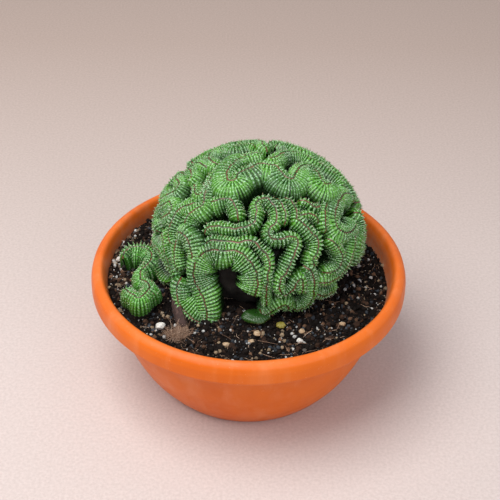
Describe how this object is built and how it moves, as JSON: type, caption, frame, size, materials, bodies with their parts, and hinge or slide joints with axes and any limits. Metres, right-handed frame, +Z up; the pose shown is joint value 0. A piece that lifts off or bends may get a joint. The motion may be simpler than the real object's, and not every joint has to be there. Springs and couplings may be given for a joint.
{
  "type": "potted euphorbia",
  "caption": "Crested succulent plant with brain-like winding ridges, growing in potting soil in a low round plastic bowl with a turned-down rim.",
  "frame": {"origin": "centre of the bowl's foot ring, on the surface it stands on", "axes": "+Z up the bowl's axis; -Y is the side that the big arched crest faces; +X to that side's right"},
  "size_m": [0.2306, 0.2306, 0.1768],
  "materials": {
    "bowl_plastic": "moulded terracotta-orange plastic, satin, with soil dust inside the rim",
    "soil": "dark peaty potting mix with grit and pumice crumbs",
    "woody_bark": "corky brown bark of an old succulent stem",
    "plant_skin": "waxy green succulent skin, finely ribbed, with red-brown growing edges",
    "young_plant_skin": "brighter, glossier green skin of young growth",
    "smooth_plant_skin": "smooth dark green skin",
    "bud_skin": "pale yellow-green new growth",
    "coir": "loose tan coconut fibre",
    "pumice": "porous white volcanic stone",
    "gravel": "tan and grey river gravel"
  },
  "bodies": {
    "root": {"bowl": "bowl_plastic", "crest_arch": "plant_skin", "crest_back_high": "plant_skin", "crest_back_low": "plant_skin", "crest_back_middle": "plant_skin", "crest_brow": "plant_skin", "crest_crown": "plant_skin", "crest_crown_back": "plant_skin", "crest_fold_fourth": "plant_skin", "crest_fold_inner": "plant_skin", "crest_fold_outer": "plant_skin", "crest_fold_side": "plant_skin", "crest_fold_third": "plant_skin", "crest_front_foot": "plant_skin", "crest_front_lobe": "plant_skin", "crest_gate": "plant_skin", "crest_left_base": "plant_skin", "crest_left_brow": "plant_skin", "crest_left_edge": "plant_skin", "crest_left_fold": "plant_skin", "crest_left_foot": "plant_skin", "crest_left_loop": "plant_skin", "crest_left_thick": "plant_skin", "crest_long_left": "plant_skin", "crest_middle": "plant_skin", "crest_red_tip": "plant_skin", "crest_right_edge": "plant_skin", "crest_right_foot": "plant_skin", "crest_right_hook": "plant_skin", "crest_right_inner": "plant_skin", "crest_right_side": "plant_skin", "crest_ring": "plant_skin", "crest_shoulder": "plant_skin", "crest_shoulder_low": "plant_skin", "crest_spiral_right": "plant_skin", "crest_top": "plant_skin", "crest_top_left": "plant_skin", "crest_top_right": "plant_skin", "crest_winding": "plant_skin", "fibre_clump": "coir", "offset_crest": "young_plant_skin", "potting_soil": "soil", "pumice_front": "pumice", "pumice_left": "pumice", "pumice_left_back": "pumice", "pumice_right": "pumice", "smooth_lobe": "smooth_plant_skin", "stone_grey_right": "gravel", "stone_tan_centre": "gravel", "stone_tan_front": "gravel", "stone_tan_left": "gravel", "stone_tan_right": "gravel", "woody_root": "woody_bark", "woody_stem": "woody_bark", "yellow_bud": "bud_skin"}
  },
  "joints": []
}
